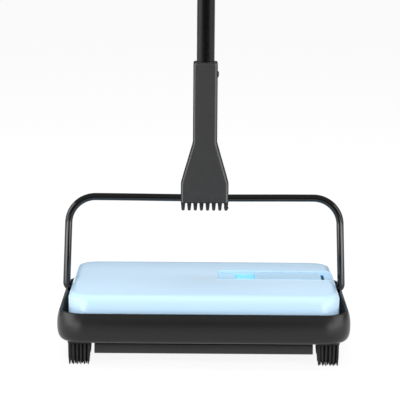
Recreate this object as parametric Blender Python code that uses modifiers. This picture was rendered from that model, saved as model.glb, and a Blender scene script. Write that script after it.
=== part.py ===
"""Push carpet sweeper: a bumper-edged housing with two hinged dustpans, a wheel-driven helical
brush, a lift-up release lever in the cover and an upright handle on a wire bail.

Units are metres, +Z up, +X to the right, -Y is the front. The origin is on the floor under the
middle of the housing.
"""

from math import cos, pi, radians, sin, tau

import bmesh
import bpy
from mathutils import Matrix, Vector

MM = 0.001
GAP = 0.3 * MM                      # clearance between neighbouring pieces

# housing with its bumper edge
HOUSING_HALF_X = 153 * MM
HOUSING_HALF_Y = 102 * MM
HOUSING_CORNER = 30 * MM
HOUSING_BOTTOM = 25 * MM
FLOOR_TOP = 28 * MM
RIM_TOP = 57 * MM
PAN_OPENING = (115 * MM, 90.3 * MM)     # half sizes of the opening over the pans
WHEEL_SLOT_X = (119 * MM, 131.8 * MM)
WHEEL_SLOT_HALF_Y = 51 * MM
DRUM_SLOT_X = (114 * MM, 120 * MM)
DRUM_SLOT_HALF_Y = 38 * MM

# top cover
COVER_HALF_X = 141 * MM
COVER_HALF_Y = 94 * MM
COVER_CORNER = 23 * MM
COVER_SHOULDER = 7.5 * MM
COVER_TOP = 77 * MM
COVER_WALL = 2.4 * MM
RECESS_X0 = 16 * MM
RECESS_Y = (-13 * MM, 35 * MM)
RECESS_FLOOR = 74 * MM
RECESS_UNDERSIDE = 71.6 * MM
NOTCH_X = (34 * MM, 64 * MM)
NOTCH_Y = (-4 * MM, 32.5 * MM)
NOTCH_FLOOR = 69.5 * MM
LEVER_WELL_X = (104 * MM, 129.5 * MM)
LEVER_WELL_Y = (-9.8 * MM, 29.8 * MM)

# release lever and the frame that it pushes down
LEVER_X = (55 * MM, 126 * MM)
LEVER_Y = (-9 * MM, 29 * MM)
LEVER_Z = (74.4 * MM, 76.6 * MM)
LEVER_PIVOT = (117 * MM, 69.5 * MM)
LEVER_EAR_Y = ((-7.5 * MM, -5 * MM), (24.5 * MM, 27 * MM))
LEVER_TAIL_Y = (13 * MM, 23 * MM)
FRAME_Z = (60 * MM, 62.5 * MM)
FRAME_BAR_Y = (46 * MM, 52 * MM)
FRAME_END_X = (111.5 * MM, 113.9 * MM)
FRAME_LEG_Y = (63 * MM, 67 * MM)
SPRING_AT = (124 * MM, -57 * MM)

# dustpans
PAN_HALF_X = 113.6 * MM
PAN_FACE_Y = 85 * MM
PAN_BOTTOM = 11.6 * MM
PAN_LIP = (31 * MM, 20 * MM)
PAN_HINGE = (80 * MM, 31 * MM)
PAN_WALL = 2 * MM
PAN_ROD_R = 1.5 * MM

# brush and its drive
BRUSH_Z = 28 * MM
BRUSH_R = 27.5 * MM
BRUSH_CORE_R = 9 * MM
BRUSH_HALF_X = 109 * MM
JOURNAL_R = 5 * MM
DRUM_R = 12 * MM
DRUM_X = (120 * MM, 129 * MM)
BRISTLE_TWIST = radians(75)
BRISTLE_ROWS = 4
END_FRAME_X = (115.4 * MM, 118.4 * MM)
WHEEL_R = 19 * MM
WHEEL_Y = 30 * MM
WHEEL_AXLE_R = 2 * MM
TYRE_INNER_R = 15.8 * MM

# corner brushes
TUFT_X = 129.5 * MM
TUFT_Y = 75 * MM
TUFT_WIDE = 23 * MM
TUFT_CELLS = 4

# bail and yoke
BAIL_Z = 64 * MM
BAIL_TOP = 163.6 * MM
BAIL_R = 4 * MM
BAIL_HALF_TOP = 145.3 * MM
BAIL_HALF_FOOT = 147.6 * MM
BAIL_CORNER = 29 * MM
BAIL_FOOT_BEND = 5.5 * MM
BAIL_END_X = 134 * MM
YOKE_TOP = 309 * MM
YOKE_NECK = 12.3 * MM
YOKE_NECK_BOTTOM = 223 * MM
YOKE_WIDE = 24.8 * MM
YOKE_WIDE_TOP = 179 * MM
YOKE_BOTTOM = 158.4 * MM
YOKE_HALF_DEPTH = 11.2 * MM
YOKE_SCREW_Z = (180 * MM, 228 * MM)
COMB_TIP = 150 * MM
COMB_TEETH = 8

# tubes and grip
TUBE_R = 9.5 * MM
TUBE_BORE = 8.5 * MM
TUBE_ENDS = (250 * MM, 530 * MM, 800 * MM, 1030 * MM)
COUPLER_R = 12 * MM
COUPLER_HALF = 22 * MM
SOCKET_R = TUBE_R + GAP
BUTTON_Z = 295.6 * MM
BUTTON_R = 3.7 * MM
GRIP_Z = (905 * MM, 1045 * MM)
LOOP_TOP = 1080 * MM

COLOURS = {
    "cover_blue": ((0.60, 0.83, 0.95), 0.25, 0.0),
    "black_plastic": ((0.035, 0.035, 0.036), 0.4, 0.0),
    "grey_plastic": ((0.06, 0.06, 0.06), 0.5, 0.0),
    "pan_plastic": ((0.05, 0.05, 0.05), 0.5, 0.0),
    "gloss_wire": ((0.015, 0.015, 0.016), 0.15, 0.3),
    "tube_paint": ((0.02, 0.02, 0.021), 0.25, 0.3),
    "steel": ((0.55, 0.55, 0.56), 0.3, 1.0),
    "bristle": ((0.03, 0.03, 0.03), 0.8, 0.0),
    "tyre": ((0.04, 0.04, 0.04), 0.9, 0.0),
    "frame_plastic": ((0.3, 0.31, 0.32), 0.5, 0.0),
}


def clear_scene():
    for old in list(bpy.data.objects):
        bpy.data.objects.remove(old, do_unlink=True)


def new_collection(name):
    collection = bpy.data.collections.new(name)
    bpy.context.scene.collection.children.link(collection)
    return collection


clear_scene()
PARTS = new_collection("carpet_sweeper")
CUTTERS = new_collection("cutters")


def material(kind, name):
    colour, roughness, metallic = COLOURS[kind]
    made = bpy.data.materials.new(name)
    made.use_nodes = True
    shader = made.node_tree.nodes["Principled BSDF"]
    shader.inputs["Base Color"].default_value = (*colour, 1)
    shader.inputs["Roughness"].default_value = roughness
    shader.inputs["Metallic"].default_value = metallic
    return made


def add(name, data, kind, location=(0, 0, 0), rotation=(0, 0, 0)):
    """Link new data as a part, or as a hidden cutter where kind is None."""
    piece = bpy.data.objects.new(name, data)
    piece.location = location
    piece.rotation_euler = rotation
    if kind is None:
        CUTTERS.objects.link(piece)
        piece.hide_render = True
        piece.display_type = "WIRE"
    else:
        PARTS.objects.link(piece)
        data.materials.append(material(kind, name))
    return piece


def pivot(name, location):
    empty = bpy.data.objects.new(name, None)
    empty.location = location
    PARTS.objects.link(empty)
    return empty


def carry(empty, pieces):
    """Parent pieces to the empty on their joint's axis, leaving them where they are."""
    bpy.context.view_layer.update()
    for piece in pieces:
        piece.parent = empty
        piece.matrix_parent_inverse = empty.matrix_world.inverted()


def mesh_from(name, bm):
    bmesh.ops.recalc_face_normals(bm, faces=bm.faces)
    data = bpy.data.meshes.new(name)
    bm.to_mesh(data)
    bm.free()
    return data


def smooth(piece, angle=35):
    piece.data.shade_smooth()
    piece.data.set_sharp_from_angle(angle=radians(angle))
    return piece


def box(name, x, y, z, kind=None, bevel=0.0, segments=2):
    """A block between three (low, high) pairs."""
    centre = Vector([(a + b) / 2 for a, b in (x, y, z)])
    size = [b - a for a, b in (x, y, z)]
    bm = bmesh.new()
    bmesh.ops.create_cube(bm, size=1, matrix=Matrix.Diagonal((*size, 1)))
    piece = add(name, mesh_from(name, bm), kind, centre)
    if bevel:
        rounded = piece.modifiers.new("edges", "BEVEL")
        rounded.width = bevel
        rounded.segments = segments
    return piece


def rod(name, start, end, radius, kind=None, sides=20):
    """A cylinder from one point to the other."""
    start, end = Vector(start), Vector(end)
    bm = bmesh.new()
    bmesh.ops.create_cone(bm, cap_ends=True, segments=sides, radius1=radius, radius2=radius,
                          depth=(end - start).length)
    data = mesh_from(name, bm)
    turn = Vector((0, 0, 1)).rotation_difference(end - start).to_euler()
    piece = add(name, data, kind, (start + end) / 2, turn)
    return smooth(piece)


def turned(name, profile, kind, location=(0, 0, 0), rotation=(0, 0, 0), steps=20):
    """A Screw solid round local Z from (radius, height) points, down the outer side."""
    data = bpy.data.meshes.new(name)
    closed = profile[0][0] > 0
    edges = [(i, i + 1) for i in range(len(profile) - 1)]
    if closed:
        edges.append((len(profile) - 1, 0))
    data.from_pydata([(r, 0, z) for r, z in profile], edges, [])
    piece = add(name, data, kind, location, rotation)
    screw = piece.modifiers.new("turn", "SCREW")
    screw.axis = "Z"
    screw.steps = screw.render_steps = steps
    screw.use_merge_vertices = True
    screw.merge_threshold = 0.00001
    screw.use_smooth_shade = True
    return piece


def tube_profile(inner, outer, low, high):
    return [(outer, high), (outer, low), (inner, low), (inner, high)]


def curve_data(name, points, cyclic, dimensions="3D"):
    data = bpy.data.curves.new(name, "CURVE")
    data.dimensions = dimensions
    spline = data.splines.new("POLY")
    spline.points.add(len(points) - 1)
    for spot, point in zip(spline.points, points):
        spot.co = (*point, *(0,) * (3 - len(point)), 1)
    spline.use_cyclic_u = cyclic
    return data


def as_mesh(curve_piece, name, kind):
    """Turn a curve object into a welded mesh object in the same place."""
    bpy.context.view_layer.update()
    graph = bpy.context.evaluated_depsgraph_get()
    data = bpy.data.meshes.new_from_object(curve_piece.evaluated_get(graph))
    place = curve_piece.matrix_world.copy()
    bpy.data.objects.remove(curve_piece, do_unlink=True)
    bm = bmesh.new()
    bm.from_mesh(data)
    bmesh.ops.remove_doubles(bm, verts=bm.verts, dist=0.00001)
    bmesh.ops.recalc_face_normals(bm, faces=bm.faces)
    bm.to_mesh(data)
    bm.free()
    data.materials.clear()
    piece = add(name, data, kind)
    piece.matrix_world = place
    return piece


ALONG_X = (0, pi / 2, 0)            # turns a piece's height from +Z to +X


def side_name(side):
    return "right" if side > 0 else "left"


def corner_name(side, front):
    return f"{'front' if front < 0 else 'rear'}_{side_name(side)}"


# local XY of a flat outline seen along each world axis
FACING = {"x": (pi / 2, 0, pi / 2), "y": (pi / 2, 0, 0), "z": (0, 0, 0)}


def plate(name, outline, axis, low, high, kind=None):
    """A flat outline extruded between two levels of an axis.

    The outline holds (y, z) points for axis x, (x, z) for axis y and (x, y) for axis z.
    """
    data = curve_data(name, outline, True, "2D")
    data.fill_mode = "BOTH"
    data.extrude = (high - low) / 2
    middle = (low + high) / 2
    spot = {"x": (middle, 0, 0), "y": (0, middle, 0), "z": (0, 0, middle)}[axis]
    piece = add(name + "_outline", data, None, spot, FACING[axis])
    return as_mesh(piece, name, kind)


def boolean(target, tool, operation="DIFFERENCE"):
    step = target.modifiers.new(tool.name, "BOOLEAN")
    step.operation = operation
    step.object = tool
    return target


def cut(target, *tools):
    for tool in tools:
        boolean(target, tool)
    return target


def join(target, *tools):
    for tool in tools:
        boolean(target, tool, "UNION")
    return target


def arc(centre, radius, start, end, steps):
    """Points round an arc, angles in degrees."""
    angles = [radians(start + (end - start) * i / steps) for i in range(steps + 1)]
    return [(centre[0] + radius * cos(a), centre[1] + radius * sin(a)) for a in angles]


def rounded_rectangle(half_x, half_y, corner, steps):
    points = []
    for turn, (sx, sy) in enumerate(((1, 1), (-1, 1), (-1, -1), (1, -1))):
        centre = (sx * (half_x - corner), sy * (half_y - corner))
        points += arc(centre, corner, 90 * turn, 90 * turn + 90, steps)
    return points


def rounded_block(name, half_x, half_y, corner, z, kind=None, shoulder=0.0):
    """A block with rounded plan corners and, where asked, a rounded top edge."""
    bm = bmesh.new()
    bmesh.ops.create_cube(bm, size=1,
                          matrix=Matrix.Diagonal((2 * half_x, 2 * half_y, z[1] - z[0], 1)))
    upright = [e for e in bm.edges if abs(e.verts[0].co.z - e.verts[1].co.z) > MM]
    bmesh.ops.bevel(bm, geom=upright, offset=corner, offset_type="OFFSET", segments=6,
                    profile=0.5, affect="EDGES")
    if shoulder:
        top = max(v.co.z for v in bm.verts)
        rim = [e for e in bm.edges if all(v.co.z > top - MM for v in e.verts)
               and len(e.link_faces) == 2 and any(f.normal.z < 0.5 for f in e.link_faces)]
        bmesh.ops.bevel(bm, geom=rim, offset=shoulder, offset_type="OFFSET", segments=6,
                        profile=0.5, affect="EDGES")
    return smooth(add(name, mesh_from(name, bm), kind, (0, 0, (z[0] + z[1]) / 2)))


# ---------------------------------------------------------------- housing and cover

def bumper_ring():
    """The bumper wall: one section swept round the plan outline."""
    r = 8 * MM
    low = arc((r + 1.5 * MM, HOUSING_BOTTOM + r), r, 270, 185, 4)
    section = [
        (14 * MM, HOUSING_BOTTOM),
        *low,
        (0, 43 * MM),
        (0.6 * MM, 50 * MM),
        (1.8 * MM, 55 * MM),
        (3.3 * MM, RIM_TOP),
        (5 * MM, RIM_TOP - 0.4 * MM),
        (5.8 * MM, 54 * MM),
        (6 * MM, FLOOR_TOP),
        (14 * MM, FLOOR_TOP),
    ]
    outline = rounded_rectangle(HOUSING_HALF_X, HOUSING_HALF_Y, HOUSING_CORNER, 7)
    profile = bpy.data.objects.new("bumper_section",
                                   curve_data("bumper_section", section, True, "2D"))
    CUTTERS.objects.link(profile)
    path = curve_data("bumper_path", outline, True, "2D")
    path.fill_mode = "NONE"
    path.bevel_mode = "OBJECT"
    path.bevel_object = profile
    ring = as_mesh(add("bumper_sweep", path, None), "base_housing", "black_plastic")
    bpy.data.objects.remove(profile, do_unlink=True)
    return smooth(ring)


def base_housing():
    housing = bumper_ring()
    inset = 12 * MM
    floor = rounded_block("housing_floor", HOUSING_HALF_X - inset, HOUSING_HALF_Y - inset,
                          HOUSING_CORNER - inset, (HOUSING_BOTTOM, FLOOR_TOP))
    join(housing, floor)
    through = (HOUSING_BOTTOM - MM, FLOOR_TOP + MM)
    half_x, half_y = PAN_OPENING
    cut(housing, box("pan_opening", (-half_x, half_x), (-half_y, half_y), through))
    for side in (-1, 1):
        wheel_x = sorted(side * x for x in WHEEL_SLOT_X)
        drum_x = sorted(side * x for x in DRUM_SLOT_X)
        cut(housing,
            box(f"wheel_slot_{side}", wheel_x, (-WHEEL_SLOT_HALF_Y, WHEEL_SLOT_HALF_Y), through),
            box(f"drum_slot_{side}", drum_x, (-DRUM_SLOT_HALF_Y, DRUM_SLOT_HALF_Y), through))
    return housing


def top_cover():
    height = (FLOOR_TOP + GAP, COVER_TOP)
    cover = rounded_block("top_cover", COVER_HALF_X, COVER_HALF_Y, COVER_CORNER, height,
                          "cover_blue", COVER_SHOULDER)
    wall = COVER_WALL
    cavity = rounded_block("cover_cavity", COVER_HALF_X - wall, COVER_HALF_Y - wall,
                           COVER_CORNER - wall, (height[0] - 5 * MM, COVER_TOP - wall),
                           None, COVER_SHOULDER - wall)
    margin = 4 * MM
    keep_slab = box("keep_slab", (RECESS_X0 - margin, COVER_HALF_X),
                    (RECESS_Y[0] - margin, RECESS_Y[1] + margin),
                    (RECESS_UNDERSIDE, COVER_TOP))
    wall_n = 2.5 * MM
    keep_notch = box("keep_notch", (NOTCH_X[0] - wall_n, NOTCH_X[1] + wall_n),
                     (NOTCH_Y[0] - wall_n, NOTCH_Y[1] + wall_n),
                     (NOTCH_FLOOR - 2 * MM, COVER_TOP))
    x, z = LEVER_PIVOT
    bosses = [box(f"keep_boss_{i}", (x - 3.5 * MM, x + 3.5 * MM), y, (z - 3.2 * MM, COVER_TOP))
              for i, y in enumerate(((LEVER_WELL_Y[0] - 6 * MM, LEVER_WELL_Y[0] - 0.8 * MM),
                                     (LEVER_WELL_Y[1] + 0.8 * MM, LEVER_WELL_Y[1] + 6 * MM)))]
    cut(cavity, keep_slab, keep_notch, *bosses)
    cut(cover, cavity)
    above = COVER_TOP + 5 * MM
    recess = box("recess_cut", (RECESS_X0, COVER_HALF_X + 10 * MM), RECESS_Y,
                 (RECESS_FLOOR, above))
    notch = box("notch_cut", NOTCH_X, NOTCH_Y, (NOTCH_FLOOR, above))
    well = box("well_cut", LEVER_WELL_X, LEVER_WELL_Y, (60 * MM, above))
    pin_hole = rod("lever_pin_hole", (x, -30 * MM, z), (x, 50 * MM, z), 1.6 * MM, sides=16)
    cut(cover, recess, notch, well, pin_hole)
    for side in (-1, 1):
        start = (side * (COVER_HALF_X - 12 * MM), 0, BAIL_Z)
        end = (side * (COVER_HALF_X + 5 * MM), 0, BAIL_Z)
        cut(cover, rod(f"bail_hole_{side}", start, end, 5.9 * MM))
    return cover


# ---------------------------------------------------------------- release mechanism

def release_lever():
    x, z = LEVER_PIVOT
    lever = box("release_lever", LEVER_X, LEVER_Y, LEVER_Z, "cover_blue")
    # (x, z) in mm from the pivot: a web round the pin with a toe that reaches over the frame
    tail = [(-9, 5), (9, 5), (9, 0.5), (14.5, -3.5), (14.5, -6.4), (11.5, -6.5), (4, -3.6),
            (-5, -3.2), (-9, 1)]
    web = plate("lever_web", [(x + a * MM, z + b * MM) for a, b in tail], "y", *LEVER_TAIL_Y)
    ears = [box(f"lever_ear_{i}", (x - 4 * MM, x + 4 * MM), y, (z - 3 * MM, LEVER_Z[0] + MM))
            for i, y in enumerate(LEVER_EAR_Y)]
    join(lever, web, *ears)
    hole = rod("lever_bore", (x, -40 * MM, z), (x, 60 * MM, z), 1.6 * MM, sides=16)
    return cut(lever, hole)


def lever_pin():
    x, z = LEVER_PIVOT
    low, high = LEVER_WELL_Y
    return rod("lever_pin", (x, low - 5.5 * MM, z), (x, high + 5.5 * MM, z), 1.3 * MM,
               "steel", 16)


def release_frame():
    """Two long bars over the pans, cross ends outside the brush, four legs and three ears."""
    end = FRAME_END_X[1]
    bar_low, bar_high = FRAME_BAR_Y
    leg_low, leg_high = FRAME_LEG_Y
    frame = box("release_frame", (-end, end), (bar_low, bar_high), FRAME_Z, "frame_plastic")
    tools = [box("frame_bar", (-end, end), (-bar_high, -bar_low), FRAME_Z)]
    foot = PAN_HINGE[1] + 0.4 * MM
    for side in (-1, 1):
        ends = sorted((side * FRAME_END_X[0], side * end))
        tools.append(box(f"frame_end_{side}", ends, (-leg_high, leg_high), FRAME_Z))
        for front in (-1, 1):
            leg_y = sorted((front * leg_low, front * leg_high))
            tools.append(box(f"frame_leg_{side}_{front}", ends, leg_y, (foot, FRAME_Z[1])))
        ear_x = sorted((side * (end - MM), side * (SPRING_AT[0] + 5 * MM)))
        ear_y = (SPRING_AT[1] - 5 * MM, SPRING_AT[1] + 5 * MM)
        tools.append(box(f"frame_ear_{side}", ear_x, ear_y, FRAME_Z))
    tail_y = (LEVER_TAIL_Y[0] - MM, LEVER_TAIL_Y[1] + MM)
    tools.append(box("frame_lever_ear", (end - MM, 134 * MM), tail_y, FRAME_Z))
    return join(frame, *tools)


def coil(name, centre, axis, radius, wire, length, turns, kind="steel"):
    """A compression spring along +X or +Z from its centre, with eight points a turn."""
    per_turn = 8
    count = turns * per_turn
    points = []
    for i in range(count + 1):
        a = tau * i / per_turn
        along = length * (i / count - 0.5)
        round_ = (radius * cos(a), radius * sin(a))
        points.append((along, *round_) if axis == "x" else (*round_, along))
    data = curve_data(name, points, False)
    data.bevel_depth = wire
    data.bevel_resolution = 0
    data.use_fill_caps = True
    return as_mesh(add(name + "_wire", data, None, centre), name, kind)


def release_spring(side):
    x, y = SPRING_AT
    low, high = FLOOR_TOP + GAP, FRAME_Z[0] - GAP
    wire = 0.7 * MM
    return coil(f"release_spring_{side_name(side)}", (side * x, y, (low + high) / 2), "z", 3.4 * MM, wire,
                high - low - 2 * wire, 5)


# ---------------------------------------------------------------- dustpans

def dustpan(name, front):
    """front is -1 for the pan on the -Y side, +1 for the one behind."""
    hinge_y, hinge_z = PAN_HINGE
    lip_y, lip_z = PAN_LIP
    face, low, wall = PAN_FACE_Y, PAN_BOTTOM, PAN_WALL
    bend = 40 * MM
    section = [
        (face, 23.5 * MM),
        *arc((face - 3 * MM, low + 3 * MM), 3 * MM, 0, -90, 3),
        (bend, low),
        (lip_y, lip_z),
        (lip_y + MM, lip_z + 1.7 * MM),
        (bend + 1.2 * MM, low + wall),
        (face - 3 * MM, low + wall),
        (face - wall, low + 3 * MM),
        (face - wall, 23.5 * MM),
    ]
    side_wall = [
        (face, 23.5 * MM),
        (face - 0.3 * MM, 33 * MM),
        (hinge_y + 1.5 * MM, hinge_z + 3.7 * MM),
        (hinge_y - 2.5 * MM, hinge_z + 3.2 * MM),
        (hinge_y - 4 * MM, hinge_z),
        (60 * MM, hinge_z),
        (56 * MM, 42 * MM),
        (40 * MM, 44 * MM),
        (lip_y + MM, 34 * MM),
        (lip_y, lip_z),
        (bend, low),
        (face - 3 * MM, low),
        (face - 0.9 * MM, low + 0.9 * MM),
        (face, low + 3 * MM),
    ]
    x = PAN_HALF_X
    pan = plate(name, [(front * y, z) for y, z in section], "x", -x, x, "pan_plastic")
    for side in (-1, 1):
        levels = sorted((side * (x - wall), side * x))
        spots = [(front * y, z) for y, z in side_wall]
        join(pan, plate(f"{name}_side_{side}", spots, "x", *levels))
    ribs = [box(f"{name}_rib_{i}", (c - 0.9 * MM, c + 0.9 * MM),
                sorted((front * 42 * MM, front * (face - MM))), (low + MM, low + 5 * MM))
            for i, c in enumerate((-38 * MM, 38 * MM))]
    join(pan, *ribs)
    ends = ((-x - MM, front * hinge_y, hinge_z), (x + MM, front * hinge_y, hinge_z))
    return cut(pan, rod(f"{name}_bore", *ends, PAN_ROD_R + GAP, sides=16))


def pan_rod(name, front):
    x = END_FRAME_X[1] - 0.2 * MM
    y, z = front * PAN_HINGE[0], PAN_HINGE[1]
    return rod(name, (-x, y, z), (x, y, z), PAN_ROD_R, "steel", 16)


def pan_spring(name, front):
    """A torsion spring on the hinge rod."""
    centre = (-90 * MM, front * PAN_HINGE[0], PAN_HINGE[1])
    return coil(name, centre, "x", 2.6 * MM, 0.5 * MM, 12 * MM, 5)


# ---------------------------------------------------------------- brush, frames and wheels

def brush_core():
    core = BRUSH_HALF_X + 3 * MM
    bore = 2.3 * MM
    half = [
        (DRUM_R - MM, DRUM_X[1]),
        (DRUM_R, DRUM_X[1] - MM),
        (DRUM_R, DRUM_X[0]),
        (JOURNAL_R, DRUM_X[0] - GAP),
        (JOURNAL_R, core),
        (BRUSH_CORE_R, core),
    ]
    outside = half + [(r, -z) for r, z in reversed(half)]
    profile = outside + [(bore, -DRUM_X[1]), (bore, DRUM_X[1])]
    return turned("brush_core", profile, "black_plastic", (0, 0, BRUSH_Z), ALONG_X)


def bristle_row(index):
    """A fin of bristles from the core out, twisted along the brush."""
    inner, outer, thick = BRUSH_CORE_R + 0.5 * MM, BRUSH_R, 5 * MM
    name = f"bristle_row_{index + 1}"
    bm = bmesh.new()
    size = Matrix.Diagonal((thick, outer - inner, 2 * BRUSH_HALF_X, 1))
    middle = Matrix.Translation((0, (inner + outer) / 2, 0))
    bmesh.ops.create_cube(bm, size=1, matrix=middle @ size)
    long_edges = [e for e in bm.edges if abs(e.verts[0].co.z - e.verts[1].co.z) > MM]
    bmesh.ops.subdivide_edges(bm, edges=long_edges, cuts=11, use_grid_fill=True)
    around = Matrix.Rotation(tau * index / BRISTLE_ROWS, 4, "Z")
    bmesh.ops.transform(bm, matrix=around, verts=bm.verts)
    piece = add(name, mesh_from(name, bm), "bristle", (0, 0, BRUSH_Z), ALONG_X)
    twist = piece.modifiers.new("twist", "SIMPLE_DEFORM")
    twist.deform_method = "TWIST"
    twist.deform_axis = "Z"
    twist.angle = BRISTLE_TWIST
    return piece


def brush_axle():
    x = DRUM_X[1] + 1.5 * MM
    return rod("brush_axle", (-x, 0, BRUSH_Z), (x, 0, BRUSH_Z), 2 * MM, "steel", 16)


def end_frame(side):
    """The upright plate that holds the brush, the wheel axles and the pan rods."""
    # (y, z) in mm: down to the wheel axles, out over the floor to the pan rods, up to the middle
    half = [(37, 13), (37, 28.3), (84.5, 28.6), (84.5, 36), (70, 36), (45, 50)]
    right = [(y * MM, z * MM) for y, z in half]
    outline = right + [(-y, z) for y, z in reversed(right)]
    name = f"end_frame_{side_name(side)}"
    levels = sorted((side * END_FRAME_X[0], side * END_FRAME_X[1]))
    frame = plate(name, outline, "x", *levels, "frame_plastic")
    x0, x1 = side * 110 * MM, side * 125 * MM
    tools = [rod(name + "_brush_hole", (x0, 0, BRUSH_Z), (x1, 0, BRUSH_Z), 7.3 * MM)]
    for front in (-1, 1):
        y = front * WHEEL_Y
        tools.append(rod(f"{name}_axle_hole_{front}", (x0, y, WHEEL_R), (x1, y, WHEEL_R),
                         WHEEL_AXLE_R + GAP, sides=16))
        y, z = front * PAN_HINGE[0], PAN_HINGE[1]
        tools.append(rod(f"{name}_rod_hole_{front}", (x0, y, z), (x1, y, z),
                         PAN_ROD_R + GAP, sides=16))
    return cut(frame, *tools)


def brush_bush(side):
    profile = tube_profile(JOURNAL_R + 0.15 * MM, 7 * MM, -1.5 * MM, 1.5 * MM)
    middle = sum(END_FRAME_X) / 2
    return turned(f"brush_bush_{side_name(side)}", profile, "steel", (side * middle, 0, BRUSH_Z),
                  ALONG_X, 20)


def wheel(side, front):
    """A hub with a ring of rubber round it; returns both."""
    where = corner_name(side, front)
    spot = (side * sum(DRUM_X) / 2, front * WHEEL_Y, WHEEL_R)
    half = (DRUM_X[1] - DRUM_X[0]) / 2
    r, bore = TYRE_INNER_R - GAP, WHEEL_AXLE_R + GAP
    hub_profile = [(5 * MM, half - 0.2 * MM), (6 * MM, half - 2 * MM), (r - 2 * MM, half - 2 * MM),
                   (r, half - MM)]
    outside = hub_profile + [(a, -b) for a, b in reversed(hub_profile)]
    hub_shape = outside + [(bore, -half + 0.2 * MM), (bore, half - 0.2 * MM)]
    hub = turned(f"wheel_hub_{where}", hub_shape, "black_plastic", spot, ALONG_X, 22)
    tread = [(WHEEL_R - 1.2 * MM, half), (WHEEL_R, half - 1.5 * MM), (WHEEL_R, 1.5 * MM - half),
             (WHEEL_R - 1.2 * MM, -half)]
    tyre_shape = tread + [(TYRE_INNER_R, -half), (TYRE_INNER_R, half)]
    tyre = turned(f"wheel_tyre_{where}", tyre_shape, "tyre", spot, ALONG_X, 22)
    return hub, tyre


def wheel_axle(side, front):
    """A headed pin, fixed in the end frame."""
    inner, outer = END_FRAME_X[0] + 0.3 * MM, DRUM_X[1] + 2.2 * MM
    head = 1.5 * MM
    length = outer - inner
    profile = [(0, length), (3.6 * MM, length), (3.6 * MM, length - head),
               (WHEEL_AXLE_R, length - head), (WHEEL_AXLE_R, 0), (0, 0)]
    return turned(f"wheel_axle_{corner_name(side, front)}", profile, "steel",
                  (side * inner, front * WHEEL_Y, WHEEL_R), (0, side * pi / 2, 0), 16)


def corner_brush(side, front):
    """A square holder and its block of bristle bundles; returns both."""
    where = corner_name(side, front)
    x, y, half = side * TUFT_X, front * TUFT_Y, TUFT_WIDE / 2
    top = HOUSING_BOTTOM - GAP
    holder_low = top - 2 * MM
    spread = half + 0.5 * MM
    holder = box(f"corner_brush_holder_{where}", (x - spread, x + spread),
                 (y - spread, y + spread), (holder_low, top), "black_plastic")
    root = holder_low - GAP
    slab = 2 * MM
    bm = bmesh.new()
    bmesh.ops.create_grid(bm, x_segments=TUFT_CELLS, y_segments=TUFT_CELLS, size=half)
    cells = list(bm.faces)
    raised = bmesh.ops.extrude_face_region(bm, geom=cells)
    lifted = [v for v in raised["geom"] if isinstance(v, bmesh.types.BMVert)]
    bmesh.ops.translate(bm, vec=(0, 0, slab), verts=lifted)
    low_faces = [f for f in bm.faces if all(abs(v.co.z) < 1e-9 for v in f.verts)]
    bmesh.ops.inset_individual(bm, faces=low_faces, thickness=0.55 * MM, depth=0)
    tips = bmesh.ops.extrude_discrete_faces(bm, faces=low_faces)["faces"]
    for face in tips:
        bmesh.ops.translate(bm, vec=(0, 0, slab - root), verts=face.verts)
    data = mesh_from(f"corner_bristles_{where}", bm)
    bristles = add(f"corner_bristles_{where}", data, "bristle", (x, y, root - slab))
    return holder, bristles


# ---------------------------------------------------------------- bail, yoke and button

def bail_wire():
    """One bent wire: in at the foot, up the leg, round the corner and over to the other side."""
    bend, corner = BAIL_FOOT_BEND, BAIL_CORNER
    foot = (BAIL_HALF_FOOT - bend, BAIL_Z + bend)
    top = (BAIL_HALF_TOP - corner, BAIL_TOP - corner)
    right = [
        (BAIL_END_X, BAIL_Z),
        *arc(foot, bend, -90, 0, 5),
        *arc(top, corner, 0, 90, 8),
    ]
    points = right + [(-x, z) for x, z in reversed(right)]
    data = curve_data("bail_wire", [(x, 0, z) for x, z in points], False)
    data.bevel_depth = BAIL_R
    data.bevel_resolution = 3
    data.use_fill_caps = True
    return smooth(as_mesh(add("bail_path", data, None), "bail_wire", "gloss_wire"), 50)


def bail_bush(side):
    """A flanged bush in the cover's side."""
    inner, outer = BAIL_R + GAP, 5.6 * MM
    flange = COVER_HALF_X + GAP
    profile = [(6.6 * MM, 0.8 * MM), (6.6 * MM, 0), (outer, 0), (outer, -5 * MM),
               (inner, -5 * MM), (inner, 0.8 * MM)]
    return turned(f"bail_bush_{side_name(side)}", profile, "grey_plastic",
                  (side * flange, 0, BAIL_Z), (0, side * pi / 2, 0))


def yoke_outline():
    """Half outline from the bottom up, mirrored: wide foot, shoulders drawn in to the neck."""
    neck, wide = YOKE_NECK, YOKE_WIDE
    span = YOKE_NECK_BOTTOM - YOKE_WIDE_TOP
    half = [(wide - MM, YOKE_BOTTOM), (wide, YOKE_BOTTOM + MM), (wide, YOKE_WIDE_TOP)]
    for i in range(1, 6):
        t = i / 6
        half.append((wide + (neck - wide) * (0.65 * t + 0.35 * t * t * (3 - 2 * t)),
                     YOKE_WIDE_TOP + span * t))
    half += [(neck, YOKE_NECK_BOTTOM), (neck, YOKE_TOP - 2 * MM), (neck - 2 * MM, YOKE_TOP)]
    return half + [(-x, z) for x, z in reversed(half)]


def comb_outline():
    """The strip that carries the teeth, with the teeth cut in its lower edge."""
    wide = YOKE_WIDE - 0.2 * MM
    root, tip = 4 * MM, 2.7 * MM
    buried = YOKE_BOTTOM + 0.6 * MM
    pitch = (2 * wide - root) / (COMB_TEETH - 1)
    points = [(wide, YOKE_BOTTOM + 4 * MM)]
    for i in reversed(range(COMB_TEETH)):
        x = -wide + root / 2 + pitch * i
        points += [(x + root / 2, buried), (x + tip / 2, COMB_TIP),
                   (x - tip / 2, COMB_TIP), (x - root / 2, buried)]
    return points + [(-wide, YOKE_BOTTOM + 4 * MM)]


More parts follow.
